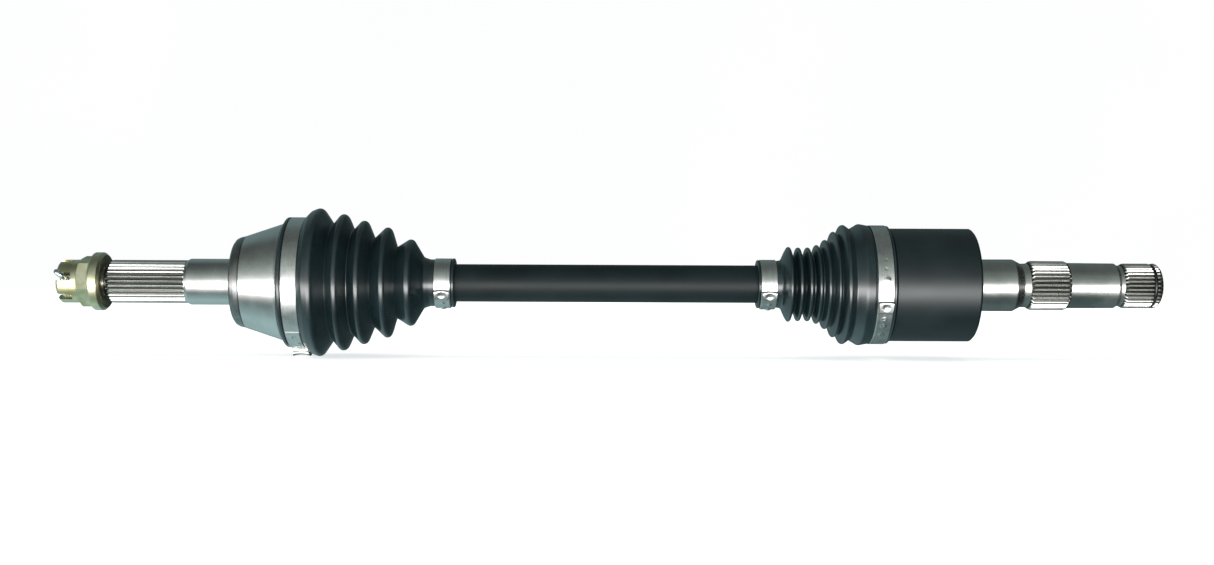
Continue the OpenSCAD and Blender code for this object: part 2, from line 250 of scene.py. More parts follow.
def ball_size(ball):
    """The distance from the axle's axis of a ball that lies on the Y axis, and its radius."""
    near, far = low(ball).y, high(ball).y
    return (abs(near) + abs(far)) / 2, (far - near) / 2


def off_track(angles):
    """How far each azimuth is from the middle of the nearest ball track."""
    pitch = TAU / TRACKS
    return (angles + pitch / 2) % pitch - pitch / 2


def ball_arc(xs, angles, centre, pitch_r, track_r):
    """Radius of the outer cup's ball tracks, curved round the joint's centre, or 0 outside them."""
    off = off_track(angles)
    along = (xs - centre)[:, None]
    reach = np.full((len(xs), len(angles)), pitch_r + 0.3 * track_r)
    for _ in range(16):
        side = reach * np.sin(off)[None, :]
        ring = pitch_r + np.sqrt(np.clip(track_r**2 - side**2, 0, None))
        found = np.sqrt(np.clip(ring**2 - along**2, 0, None)) / np.cos(off)[None, :]
        reach = np.where(np.abs(side) < track_r, (reach + found) / 2, reach)
    return np.where(np.abs(side) < track_r, reach, 0)


def ball_line(xs, angles, pitch_r, track_r):
    """Radius of the inner cup's straight ball tracks, or 0 outside them."""
    off = off_track(angles)
    side = pitch_r * np.sin(off)
    far = pitch_r * np.cos(off) + np.sqrt(np.clip(track_r**2 - side**2, 0, None))
    row = np.where(np.abs(side) < track_r, far, 0)
    return np.repeat(row[None, :], len(xs), 0)


def thread(start, end, r, pitch=1.5, depth=0.85):
    """Outline of a screw thread's rings."""
    turns = int((end - start) / pitch)
    line = []
    for i in range(turns):
        x = start + i * pitch
        line += [[x, r - depth], [x + 0.42 * pitch, r], [x + 0.56 * pitch, r]]
    return line + [[start + turns * pitch, r - depth]]


def hub_skin(count, mouth):
    """The hub forging's outside: threaded end, spline, bearing seat, shoulder and cup."""
    tip, face, boot_lip = low("outer_joint_housing").x, high("castle_nut").x, low("outer_boot").x
    root_r, spline_r = HUB_SPLINE
    seat_r = 13.8
    start, spline_end = face + 2.2, -28.5
    outline = [[tip, 0], [tip, 7.6, 0.3], [tip + 1.0, 8.3, 0.2]]
    outline += thread(tip + 1.4, face + 1.6, 9.0)
    outline += [
        [start, 8.9], [start, root_r], [start + 0.2, root_r], [start + 1.7, spline_r, 0.3],
        [spline_end, spline_r, 0.3], [spline_end + 1.7, seat_r, 0.5], [-0.9, seat_r, 0.2],
        [-0.5, seat_r - 0.2, 0.1], [-0.1, seat_r + 0.1, 0.3], [0, 21.6, 1.6], [0.7, 24.4, 1.0],
        [1.9, 26.0, 1.2], [4.0, 26.95, 2.0], [7.0, 27.55], [7.1, 27.75],
        [boot_lip - 1.7, 35.1, 0.5], [boot_lip - 0.9, 35.6, 0.4], [boot_lip - 0.6, 35.2],
        [boot_lip, 35.9], [mouth - 0.6, 35.9, 0.3], [mouth, 35.3],
    ]
    outer = with_stations(rounded(outline), [spline_end - d for d in (0.9, 0.6, 0.3)])
    xs, radii = skin(outer, count)
    roots = [
        [start, root_r], [spline_end - 0.9, root_r], [spline_end - 0.6, root_r + 0.35],
        [spline_end - 0.3, root_r + 0.9], [spline_end, spline_r],
    ]
    return xs, cut_spline(xs, radii, HUB_TEETH, roots)


def bowl_skin(count, mouth):
    """The round inside of the outer cup, with its ball tracks."""
    centre, bowl_r = joint_x("outer_pitch"), 27.2
    pitch_r, ball_r = ball_size("outer_ball_6")
    edge = math.acos((mouth - 0.9 - centre) / bowl_r)
    turns = np.linspace(edge, math.pi, 46)
    bowl = np.stack([centre + bowl_r * np.cos(turns), bowl_r * np.sin(turns)], 1)
    bowl[-1, 1] = 0.0
    xs, radii = skin(np.array([[mouth, 25.6], [mouth - 0.5, 24.8], *bowl]), count)
    tracks = ball_arc(xs, azimuths(count), centre, pitch_r, ball_r + 1.75)
    tracks[-4:] = 0
    return xs, np.maximum(radii, tracks)


def outer_cup(count=432):
    mouth = high("outer_joint_housing").x
    outside, inside = hub_skin(count, mouth), bowl_skin(count, mouth)
    verts, faces = around(*(np.concatenate(pair) for pair in zip(outside, inside, strict=True)))
    return new_piece("outer_cup", verts, faces)


def inner_cup(end, count=396):
    """The plunging joint's cup, up to its closed end."""
    pitch_r, ball_r = ball_size("inner_ball_6")
    mouth = low("inner_joint_housing").x
    seat_end = joint_x("inner_pitch") - 15.8
    cup_r, seat_r, bore_r = 33.75, 33.0, 25.6
    outline = [
        [mouth, bore_r + 1.6], [mouth, seat_r - 0.4, 0.2], [mouth + 0.6, seat_r, 0.3],
        [seat_end + 0.2, seat_r], [seat_end + 0.7, cup_r, 0.4], [end - 1.3, cup_r, 0.9],
        [end, cup_r - 1.4, 0.9], [end, 17.4, 0.3], [end - 0.6, 16.9, 0.2],
        [end - 0.6, JOURNAL_R - 1.5], [end - 3.0, JOURNAL_R - 2.0], [end - 3.0, 0],
    ]
    xs, radii = skin(rounded(outline), count)
    bore = rounded([
        [end - 6, 0], [end - 7.2, 14], [end - 8, bore_r - 8, 1], [end - 12, bore_r, 1.5],
        [mouth + 5.1, bore_r], [mouth + 4.6, bore_r + 1.1], [mouth + 3, bore_r + 1.1],
        [mouth + 2.5, bore_r], [mouth + 1.4, bore_r], [mouth, bore_r + 1.5],
    ])
    bore_xs, bore_radii = skin(bore, count)
    tracks = ball_line(bore_xs, azimuths(count), pitch_r, ball_r + 0.49)
    tracks[bore_xs > end - 13] = 0
    bore_radii = np.maximum(bore_radii, tracks)
    verts, faces = around(np.concatenate([bore_xs, xs]), np.concatenate([bore_radii, radii]))
    return new_piece("inner_cup", verts, faces)


def inner_stub(end, count=396):
    """The stub behind the inner cup: journals, long spline, end spline and the snap ring's groove."""
    tip = high("inner_joint_housing").x
    (long_root, long_r), (end_root, end_r) = LONG_SPLINE, END_SPLINE
    ring = (low("stub_snap_ring").x + high("stub_snap_ring").x) / 2
    outline = [
        [end - 2.6, 0], [end - 2.6, JOURNAL_R - 1.7], [end - 0.4, JOURNAL_R - 1.4],
        [end, JOURNAL_R + 0.3, 0.2], [end + 0.5, JOURNAL_R, 0.3], [464.8, JOURNAL_R, 2.0],
        [469.6, 13.1, 3.0], [473.5, 13.2, 0.6], [475.5, long_r, 2.0],
        [495.8, long_r, 0.5], [497.1, 13.6, 0.5],
        [525.5, 13.4, 0.5], [527.0, 12.2, 0.9], [529.1, 12.2, 0.3], [531.1, end_r, 0.8],
        [ring - 0.95, end_r], [ring - 0.9, 11.8], [ring + 0.9, 11.8], [ring + 0.95, end_r],
        [tip - 1.9, end_r, 0.5], [tip - 0.2, 11.6, 0.3], [tip, 11.2, 0.2], [tip, 3.4, 0.2],
        [tip - 3.0, 0.0],
    ]
    xs, radii = skin(with_stations(rounded(outline), [496.2, 496.6, 475.8, 531.6]), count)
    long_roots = [[473.5, long_root], [495.8, long_root], [497.1, 13.5]]
    end_roots = [[529.3, end_root], [tip - 0.2, end_root - 0.4]]
    for roots in (long_roots, end_roots):
        radii = cut_spline(xs, radii, STUB_TEETH, roots)
    return new_piece("inner_stub", *around(xs, radii))


# ---------------------------------------------------------------- boots

def smooth_line(line, step):
    """The line again with its points at even steps along it."""
    gaps = np.hypot(*np.diff(line, axis=0).T)
    run = np.concatenate([[0], np.cumsum(gaps)])
    count = max(2, int(run[-1] / step))
    places = np.linspace(0, run[-1], count + 1)
    return np.stack([np.interp(places, run, line[:, k]) for k in (0, 1)], 1)


def valley(line, x):
    """Where the line is narrowest near x."""
    near = line[np.abs(line[:, 0] - x) < 1.6]
    return float(near[np.argmin(near[:, 1]), 0])


def boot_pieces(name, outside, wall, seat_points, cuts, count=200):
    """A boot as one closed shell for each stretch between cuts, which lie in the valleys of its folds."""
    outer = smooth_line(rounded(outside, steps=9), 0.42)
    flow = np.gradient(outer, axis=0)
    normal = np.stack([flow[:, 1], -flow[:, 0]], 1)
    normal /= np.maximum(np.hypot(*normal.T), 1e-9)[:, None]
    inner = outer + normal * wall
    inner[:, 1] = np.maximum(inner[:, 1], np.interp(inner[:, 0], *zip(*seat_points, strict=True)))
    cuts = [valley(outer, x) for x in cuts]
    edges = [outer[0, 0] - 1, *cuts, outer[-1, 0] + 1]
    pieces = []
    for k, (a, b) in enumerate(zip(edges, edges[1:], strict=False)):
        first = np.argmax(outer[:, 0] >= a)
        last = len(outer) - np.argmax(outer[::-1, 0] <= b)
        out, back = outer[first:last], inner[first:last][::-1]
        line = np.concatenate([out, back])
        pieces.append(new_piece(f"{name}_{k + 1}", *around(*skin(line, count), loop=True)))
    return pieces


# Places here are counted from the joint's centre.
OUTER_BOOT = [
    [-1.2, 36.35], [-1.2, 37.2, 0.4], [-0.1, 38.9, 0.7], [1.4, 38.9, 0.4], [1.9, 38.2, 0.2],
    [11.2, 38.2, 0.2], [11.5, 39.8, 0.5], [14.7, 42.9, 3.0],
    [19.4, 44.3, 2.6], [26.6, 34.6, 0.3], [33.2, 41.3, 2.2], [38.6, 31.2, 0.3],
    [45.4, 37.4, 2.2], [51.0, 26.3, 0.3], [59.6, 33.4, 2.2], [64.4, 21.2, 0.3],
    [73.5, 26.1, 2.8], [80.9, 15.4, 3.0], [84.6, 14.1, 2.5], [87.2, 14.05, 0.2],
    [97.5, 14.05, 0.2], [97.9, 14.7, 0.3], [99.2, 14.7, 0.5], [99.6, 13.6, 0.3],
    [99.6, 11.35],
]
INNER_BOOT = [
    [-93.7, 11.35], [-93.7, 13.6, 0.3], [-93.3, 14.5, 0.5], [-92.4, 14.5, 0.3],
    [-92.1, 14.05, 0.2], [-81.7, 14.05, 0.4], [-79.4, 14.6, 2.0], [-76.8, 19.8, 2.0],
    [-74.6, 22.8, 1.1], [-71.6, 16.0, 0.3], [-68.9, 22.8, 1.1], [-66.0, 16.0, 0.3],
    [-63.2, 22.8, 1.1], [-60.4, 16.6, 0.3], [-58.0, 24.0, 1.1], [-55.7, 21.0, 0.3],
    [-53.1, 27.0, 1.1], [-50.8, 25.0, 0.3], [-48.0, 31.7, 1.3], [-46.2, 29.4, 0.3],
    [-43.0, 35.9, 1.5], [-38.6, 33.2, 0.9], [-33.2, 36.3, 2.2], [-28.2, 35.5, 1.0],
    [-27.4, 34.9, 0.3], [-17.5, 34.9, 0.3], [-17.1, 35.3, 0.2], [-16.3, 35.3, 0.3],
    [-15.9, 34.6, 0.2], [-15.9, 33.35],
]


def placed(outline, centre):
    return [[p[0] + centre, *p[1:]] for p in outline]


def outer_boot():
    centre = joint_x("outer_pitch")
    seats = placed([[-6, 36.35], [12.7, 36.35], [13.7, 30], [79.5, 11.35], [103, 11.35]], centre)
    clamped, split, held = centre + 11.6, centre + 38.6, centre + 65.0
    outline = placed(OUTER_BOOT, centre)
    near, far = boot_pieces("outer_boot", outline, 1.8, seats, [split])
    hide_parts("outer_boot")
    at(clamped)
    at(split)
    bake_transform(near)
    at(split)
    at(held)
    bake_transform(far)
    return [near, far]


def inner_boot():
    centre = joint_x("inner_pitch")
    seats = [[-100, 11.35], [-78.2, 11.35], [-77, 8], [-30.4, 8], [-29.6, 33.35], [-10, 33.35]]
    held, clamped = centre - 61.5, centre - 27.4
    splits = [centre - 50.8, centre - 38.6]
    outline = placed(INNER_BOOT, centre)
    parts = boot_pieces("inner_boot", outline, 1.4, placed(seats, centre), splits)
    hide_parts("inner_boot")
    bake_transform(parts[0], "axle_bar", "inner_cage", at(held), at(splits[0]))
    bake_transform(parts[1], "inner_cage", "inner_bellows", at(splits[0]), at(splits[1]))
    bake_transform(parts[2], "inner_bellows", "inner_housing", at(splits[1]), at(clamped))
    return parts


def at(x):
    return (x * MM, 0, 0)


# ---------------------------------------------------------------- clamps

def strip(path, width, thick, x_mid, shape, across=17):
    """A flat strip bent along a path of [y, z] points, with rounded edges.

    For a path point and a place across, shape gives three moves of the strip: its lift, its shift along X
    and its slide round the axle.
    """
    path = np.asarray(path, float)
    flow = np.gradient(path, axis=0)
    flow /= np.maximum(np.hypot(*flow.T), 1e-9)[:, None]
    out = np.stack([-flow[:, 1], flow[:, 0]], 1)
    out *= np.sign((out * path).sum(1).sum())
    half, edge = width / 2, thick * 0.3
    ins = np.linspace(-half + edge, half - edge, across)
    section = [(-half, edge)] + [(s, 0) for s in ins] + [(half, edge)]
    section += [(half, thick - edge)] + [(s, thick) for s in ins[::-1]] + [(-half, thick - edge)]
    verts, faces, m = [], [], len(section)
    for p, n in zip(path, out, strict=True):
        for s, t in section:
            lift, shift, slide = shape(p, s)
            q = p + n * (t + lift) + slide
            verts.append(((x_mid + s + shift) * MM, q[0] * MM, q[1] * MM))
    for i in range(len(path) - 1):
        for j in range(m):
            k = (j + 1) % m
            faces.append((i * m + j, i * m + k, (i + 1) * m + k, (i + 1) * m + j))
    last = (len(path) - 1) * m
    faces.append(tuple(range(m)))
    faces.append(tuple(last + j for j in range(m)))
    return verts, faces


def polar(r, azimuth):
    a = math.radians(azimuth)
    return np.array([-r * math.cos(a), r * math.sin(a)])


def ear_path(r, azimuth, length, height, ends):
    """A strip's path round the axle from ends[0] to ends[1], with a pinched ear at the azimuth given."""
    half, neck, foot = length / 2, 0.36 * length, 0.8
    line = smooth_line(rounded([
        [-half - foot, 0], [-neck, 0.1 * height, 0.5], [-neck, 0.45 * height, 0.4],
        [-half, 0.7 * height, 0.5], [-0.42 * length, height, 0.6], [0.42 * length, height, 0.6],
        [half, 0.7 * height, 0.5], [neck, 0.45 * height, 0.4], [neck, 0.1 * height, 0.5],
        [half + foot, 0],
    ], steps=5), 0.25)
    up = polar(1, azimuth)
    reach, step = math.degrees((half + foot) / r), math.degrees(0.4 / r)
    before = [polar(r, a) for a in np.arange(ends[0], azimuth - reach, step)]
    after = [polar(r, a) for a in np.arange(azimuth + reach + step, ends[1], step)]
    sag = [r - math.sqrt(max(r * r - u * u, 0)) for u, _ in line]
    ear = [up * (r + v - s) + ahead(azimuth) * u for (u, v), s in zip(line, sag, strict=True)]
    return before + ear + after


def ahead(azimuth):
    """The way round the axle in which azimuths grow, as [y, z]."""
    return polar(1, azimuth + 90)


def bumps(spots, r_base):
    """Dimples and bumps pressed in a strip: each spot is [azimuth, x, radius, height, dip in its middle]."""
    def lift(p, s):
        angle = math.degrees(math.atan2(p[1], -p[0]))
        total = 0.0
        for azimuth, x, radius, height, dip in spots:
            turn = (angle - azimuth + 180) % 360 - 180
            far = math.hypot(math.radians(turn) * r_base, s - x) / radius
            total += height * math.exp(-far**4) - dip * math.exp(-((far * 2.2) ** 2))
        return total
    return lift


BAND_THICK = 0.55
# What a clamp's ear has unless clamps() says otherwise. place shifts the whole clamp along X.
PLAIN_EAR = {"place": 0, "flare": 0, "taper": 0, "bow": 0, "saddle": 0.1, "dimple_at": 0, "shift": 0}


def band(x_mid, r_in, width, spots, count=360):
    """A clamp's closed band, with spots pressed in its outside."""
    half, edge, r_out = width / 2, 0.16, r_in + BAND_THICK
    top = [[x_mid + s, r_out] for s in np.linspace(half - edge, edge - half, 19)]
    ring = [
        [x_mid - half, r_in + edge], [x_mid - half + edge, r_in], [x_mid + half - edge, r_in],
        [x_mid + half, r_in + edge], [x_mid + half, r_out - edge], *top,
        [x_mid - half, r_out - edge],
    ]
    xs, radii = skin(np.array(ring), count)
    lift = bumps(spots, r_in)
    for i, x in enumerate(xs):
        if radii[i, 0] >= r_out - 1e-6:
            radii[i] += [lift(polar(1, a), x - x_mid) for a in np.degrees(azimuths(count))]
    return around(xs, radii, loop=True)


def ear_shape(ear, r_top, width, spots):
    """The shape of a clamp's second layer, for strip: spots pressed in it, and the form of its ear."""
    up, forward = polar(1, ear["azimuth"]), ahead(ear["azimuth"])
    pressed = bumps(spots, r_top)

    def shape(p, s):
        above, along = float(np.dot(p, up)) - r_top, float(np.dot(p, forward)) / ear["length"] * 2
        share = min(max(above / ear["height"], 0), 1) if abs(along) < 1.6 else 0
        f = 2 * s / width
        saddle = -ear["saddle"] * ear["height"] * share * (1 - f * f)
        far = ((along - ear["dimple_at"]) * ear["length"] / 2) ** 2 + s * s
        dimple = -ear["dimple"] * math.exp(-((far / ear["dimple_r"] ** 2) ** 2)) * share**4
        shift = share * (s * (ear["flare"] - ear["taper"] * max(-along, 0)) + ear["shift"])
        slide = forward * (-ear["bow"] * f * f * share * along)
        return saddle + dimple + pressed(p, s), shift, slide

    return shape


def clamp(name, body, width, ear, plate, spots, band_spots=()):
    """A boot clamp: a band, and a second layer from plate[0] to plate[1] with a pinched ear in it."""
    ear = PLAIN_EAR | ear
    x_mid = (low(name).x + high(name).x) / 2 + ear["place"]
    r_top = ear["r_in"] + BAND_THICK + 0.03
    plate_width = width - 0.7
    path = ear_path(r_top, ear["azimuth"], ear["length"], ear["height"], plate)
    shape = ear_shape(ear, r_top, plate_width, spots)
    layers = [
        band(x_mid, ear["r_in"], width, band_spots),
        strip(path, plate_width, 0.5, x_mid, shape),
    ]
    piece = join(name + "_strap", layers)
    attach(piece, body)
    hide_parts(name)
    return piece


def clamps():
    """The four clamps. A spot is [azimuth, place across, radius, height, dip in its middle]."""
    small = {
        "r_in": 14.08, "azimuth": -28, "length": 6.9, "height": 2.3, "dimple": 0.62,
        "dimple_r": 1.9, "dimple_at": 0.22, "taper": 0.3, "bow": 0.9,
    }
    outer = {
        "r_in": 38.35, "azimuth": -93, "length": 8.0, "height": 4.9, "dimple": 0.3,
        "dimple_r": 1.2, "saddle": 0.2, "flare": 0.24, "shift": 0.9,
    }
    inner = {
        "r_in": 35.05, "azimuth": -21, "length": 7.4, "height": 2.5, "dimple": 0.7,
        "dimple_r": 1.7, "dimple_at": 0.1, "taper": 0.12, "bow": 0.5,
    }
    hook = [[-53, 0.3, 0.9, 0.4, 0], [-79, 0.2, 1.7, 0.8, 0]]
    pressed = [[-55.4, 0, 1.4, 0.3, 0.75], [-67, 1.6, 1.5, 0.5, 0]]
    row = [[-34, -0.4, 1.4, 0.45, 0.7], [-41.5, -0.4, 1.4, 0.45, 0.7], [-54, -0.4, 1.3, 0.4, 0.6]]
    holes = [[4.4, 0.9, 1.4, 0.55, 0], [15, 0, 0.7, -0.25, 0], [24, 0.4, 0.7, -0.25, 0]]
    return [
        clamp("outer_small_clamp", "axle_bar", 9.6, small | {"place": 1.7}, [-96, -13], hook),
        clamp("inner_small_clamp", "axle_bar", 9.4, small | {"place": -0.6}, [-96, -13], hook),
        clamp("outer_large_clamp", "outer_housing", 8.9, outer, [-118, -48.5], pressed),
        clamp("inner_large_clamp", "inner_housing", 9.2, inner, [-62, 2], row, holes),
    ]


# ---------------------------------------------------------------- castle nut and split pin

NUT_AZIMUTH = 13


def hexagon(xs, flats, start, count):
    """Radii of the nut's hexagon, chamfered at its start."""
    turn = (np.degrees(azimuths(count)) - NUT_AZIMUTH + 30) % 60 - 30
    sides = flats / 2 / np.cos(np.radians(turn))
    corner_r = flats / 2 / math.cos(math.radians(30))
    chamfer = np.minimum(13.0 + (xs - start) * 1.7, corner_r + 1)
    return np.minimum(sides[None, :], chamfer[:, None])


def castle_nut(count=360):
    end, face = low("castle_nut").x, high("castle_nut").x
    flats, flange_r, crown_r, bore_r = 27.0, 17.4, 12.9, 9.06
    hex_end, flange_x = face - 15.0, face - 8.4
    crown = rounded([
        [end, bore_r + 0.9], [end, crown_r - 1.2, 0.4], [end + 1.2, crown_r, 0.8],
        [hex_end, crown_r, 0.3],
    ])
    flange = rounded([
        [flange_x, 13.2], [flange_x + 0.5, 14.6, 0.6], [face - 6.7, 17.0, 0.8],
        [face - 6.0, flange_r, 0.6], [face - 1.7, flange_r, 0.9], [face, flange_r - 1.5, 0.4],
        [face, bore_r + 0.9],
    ])
    body_x = np.linspace(hex_end, flange_x + 4, 46)
    rise = flange[np.argsort(flange[:, 0], kind="stable")][:30]
    skirt = np.minimum(np.interp(body_x, *rise.T, left=0, right=0), flange_r)
    body = np.maximum(hexagon(body_x, flats, hex_end, count), skirt[:, None])
    bore = np.array([[face - 1.0, bore_r], [end + 1.0, bore_r]])
    skins = [
        skin(crown, count), (body_x, body),
        skin(flange[flange[:, 0] > body_x[-1] + 0.01], count), skin(bore, count),
    ]
    joined = (np.concatenate(rows) for rows in zip(*skins, strict=True))
    nut = new_piece("slotted_nut", *around(*joined, loop=True))
    cut_slots(nut, end)
    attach(nut, "outer_housing")
    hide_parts("castle_nut")
    return nut


def cut_slots(nut, end, width=4.6, depth=8.6):
    """Cuts the crown's six slots through the nut, two at a time."""
    for k in range(3):
        a = math.radians(NUT_AZIMUTH + 60 * k)
        out = np.array([0, -math.cos(a), math.sin(a)])
        side = np.array([0, math.sin(a), math.cos(a)])
        verts = []
        for x in (end - 2, end + depth):
            for s in (-1, 1):
                for t in (-1, 1):
                    verts.append((np.array([x, 0, 0]) + out * 20 * s + side * width / 2 * t) * MM)
        faces = [(0, 1, 3, 2), (4, 6, 7, 5), (0, 4, 5, 1), (2, 3, 7, 6), (0, 2, 6, 4), (1, 5, 7, 3)]
        cutter = new_piece(f"slot_cutter_{k}", verts, faces)
        cut = nut.modifiers.new("slot", "BOOLEAN")
        cut.operation = "DIFFERENCE"
        cut.solver = "EXACT"
        cut.object = cutter
        apply_modifiers(nut)
        bpy.data.objects.remove(cutter)
    nut.data.set_sharp_from_angle(angle=SHARP)


def apply_modifiers(piece):
    graph = bpy.context.evaluated_depsgraph_get()
    mesh = bpy.data.meshes.new_from_object(piece.evaluated_get(graph))
    piece.modifiers.clear()
    piece.data = mesh


def sweep(path, normals, section):
    """A closed tube along a path of points, with a section of [side, normal] points at each."""
    path, normals = np.asarray(path), np.asarray(normals)
    flow = np.gradient(path, axis=0)
    flow /= np.linalg.norm(flow, axis=1)[:, None]
    side = np.cross(flow, normals)
    verts, faces, m = [], [], len(section)
    for p, n, s in zip(path, normals, side, strict=True):
        verts.extend([(p + s * u + n * v) * MM for u, v in section])
    for i in range(len(path) - 1):
        for j in range(m):
            k = (j + 1) % m
            faces.append((i * m + j, i * m + k, (i + 1) * m + k, (i + 1) * m + j))
    faces.append(tuple(range(m)))
    faces.append(tuple((len(path) - 1) * m + j for j in range(m)))
    return verts, faces


def split_pin():
    """A split pin of half-round wire: two legs through the nut, and an eye on the near side."""
    wire_r, eye_r, gap, low_end = 1.55, 2.75, 0.06, -15.0
    x_pin = low("castle_nut").x + 4.4
    shoulder = 13.0 - low_end
    centre = shoulder + eye_r + 1.2
    leg = [[6.5, 0.6], [gap, 1.2, 1.4], [gap, shoulder, 0.8]]
    turns = np.linspace(math.radians(50), math.pi, 16)
    eye = [[eye_r * math.sin(a), centre - eye_r * math.cos(a)] for a in turns]
    right = rounded(leg + eye)
    left = right[::-1][1:] * [-1, 1]
    line = smooth_line(np.concatenate([right, left]), 0.35)
    up = np.array([0, *polar(1, NUT_AZIMUTH)])
    round_up = np.array([0, *ahead(NUT_AZIMUTH)])
    tilt = math.radians(38)
    across = np.array([math.cos(tilt), 0, 0]) - round_up * math.sin(tilt)
    start = np.array([x_pin, 0, 0]) + up * low_end
    path = [start + across * u + up * v for u, v in line]
    steps = np.linspace(-math.pi / 2, math.pi / 2, 11)
    section = [[-wire_r * math.cos(a), wire_r * math.sin(a)] for a in steps]
    pin = new_piece("cotter", *sweep(path, [np.cross(up, across)] * len(path), section))
    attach(pin, "outer_housing")
    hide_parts("split_pin")
    return pin


# ---------------------------------------------------------------- materials

class Graph:
    """Short ways to add nodes to a tree and join them."""

    def __init__(self, tree):
        self.tree = tree

    def add(self, kind, **settings):
        node = self.tree.nodes.new(kind)
        for key, value in settings.items():
            setattr(node, key, value)
        return node

    def link(self, a, b):
        self.tree.links.new(a, b)

    def put(self, socket, value):
        if isinstance(value, bpy.types.NodeSocket):
            self.link(value, socket)
        else:
            socket.default_value = value

    def maths(self, operation, a, b=0.0, c=0.0):
        node = self.add("ShaderNodeMath", operation=operation)
        for socket, value in zip(node.inputs, (a, b, c), strict=True):
            self.put(socket, value)
        return node.outputs[0]

    def spread(self, value, low_end, high_end, start=0.3, end=0.7, **settings):
        """low_end where the value is start, and high_end where it is end."""
        node = self.add("ShaderNodeMapRange", **settings)
        self.link(value, node.inputs["Value"])
        numbers = {"From Min": start, "From Max": end, "To Min": low_end, "To Max": high_end}
        for key, number in numbers.items():
            node.inputs[key].default_value = number
        return node.outputs[0]

    def mix(self, factor, a, b):
        node = self.add("ShaderNodeMix", data_type="RGBA")
        self.put(node.inputs["Factor"], factor)
        for key, colour in (("A", a), ("B", b)):
            socket = [s for s in node.inputs if s.name == key and s.type == "RGBA"][0]
            self.put(socket, (*colour, 1) if isinstance(colour, tuple) else colour)
        return [s for s in node.outputs if s.type == "RGBA"][0]


class Nodes(Graph):
    """A new material, with the textures that its surface needs."""

    def __init__(self, name):
        self.material = bpy.data.materials.new(name)
        self.material.use_nodes = True
        super().__init__(self.material.node_tree)
        self.shader = self.tree.nodes["Principled BSDF"]
        self.place = self.add("ShaderNodeTexCoord").outputs["Object"]

    def axes(self):
        node = self.add("ShaderNodeSeparateXYZ")
        self.link(self.place, node.inputs[0])
        return node.outputs

    def radius(self):
        _, y, z = self.axes()
        squares = self.maths("ADD", self.maths("MULTIPLY", y, y), self.maths("MULTIPLY", z, z))
        return self.maths("SQRT", squares)

    def along(self):
        """A place along a turned part's outline, which changes on its faces and on its sides."""
        return self.maths("ADD", self.axes()[0], self.radius())

    def noise(self, scale, detail=3.0, roughness=0.5, stretch=None):
        node = self.add("ShaderNodeTexNoise")
        source = self.place
        if stretch:
            mapping = self.add("ShaderNodeMapping")
            self.link(source, mapping.inputs["Vector"])
            mapping.inputs["Scale"].default_value = stretch
            source = mapping.outputs[0]
        self.link(source, node.inputs["Vector"])
        node.inputs["Scale"].default_value = scale
        node.inputs["Detail"].default_value = detail
        node.inputs["Roughness"].default_value = roughness
        return node.outputs["Fac"]

    def rings(self, scale, detail=3.0):
        """Noise that is the same all round the axle: lines left by a lathe."""
        node = self.add("ShaderNodeTexNoise", noise_dimensions="1D")
        self.link(self.along(), node.inputs["W"])
        node.inputs["Scale"].default_value = scale
        node.inputs["Detail"].default_value = detail
        return node.outputs["Fac"]

    def window(self, value, start, full, fading, end):
        """1 where the value lies between full and fading, and 0 before start and after end."""
        rise, fall = self.spread(value, 0, 1, start, full), self.spread(value, 1, 0, fading, end)
        return self.maths("MULTIPLY", rise, fall)

    def grooves(self, stretches):
        """Mask of the painted shade in spline grooves: 1 in the spaces between spline teeth and 0 on them. A
        stretch is [start, end, root, tip] in mm.
        """
        x, r = self.axes()[0], self.radius()
        total = 0.0
        for start, end, root, tip in stretches:
            after = self.maths("GREATER_THAN", x, start * MM)
            before = self.maths("LESS_THAN", x, end * MM)
            # Painted shade: full from the root up to the first radius, fading out by the second.
            shade_full_r, shade_end_r = root + 0.15 * (tip - root), root + 0.8 * (tip - root)
            deep = self.spread(r, 1, 0, shade_full_r * MM, shade_end_r * MM)
            total = self.maths("MULTIPLY_ADD", self.maths("MULTIPLY", after, before), deep, total)
        return total

    def blend(self, factor, a, b):
        """a where the factor is 0 and b where it is 1."""
        return self.maths("MULTIPLY_ADD", factor, self.maths("SUBTRACT", b, a), a)

    def bump(self, height, strength, distance, before=None):
        node = self.add("ShaderNodeBump")
        node.inputs["Strength"].default_value = strength
        node.inputs["Distance"].default_value = distance
        self.link(height, node.inputs["Height"])
        if before:
            self.link(before, node.inputs["Normal"])
        return node.outputs[0]

    def finish(self, colour, roughness, normal, **values):
        self.put(self.shader.inputs["Base Color"], colour)
        self.put(self.shader.inputs["Roughness"], roughness)
        if normal:
            self.link(normal, self.shader.inputs["Normal"])
        for key, value in values.items():
            self.shader.inputs[key.replace("_", " ")].default_value = value
        return self.material


# Painted shade: a dark colour laid in the spaces between spline teeth, darkest at their roots.
GROOVE_SHADE = (0.05, 0.048, 0.042)
HUB_GROOVES = [[-76.0, -27.0, *HUB_SPLINE]]
STUB_GROOVES = [[473.4, 497.2, *LONG_SPLINE], [529.2, 552.0, *END_SPLINE]]


def stained(n, fine):
    """Faint stains on machined steel, and how pale it is with its fine lines added."""
    stain = n.noise(38, 4, 0.6)
    tone = n.maths("ADD", n.maths("MULTIPLY", fine, 0.3), n.maths("MULTIPLY", stain, 0.7))
    return stain, n.spread(tone, 0, 1, 0.34, 0.66)


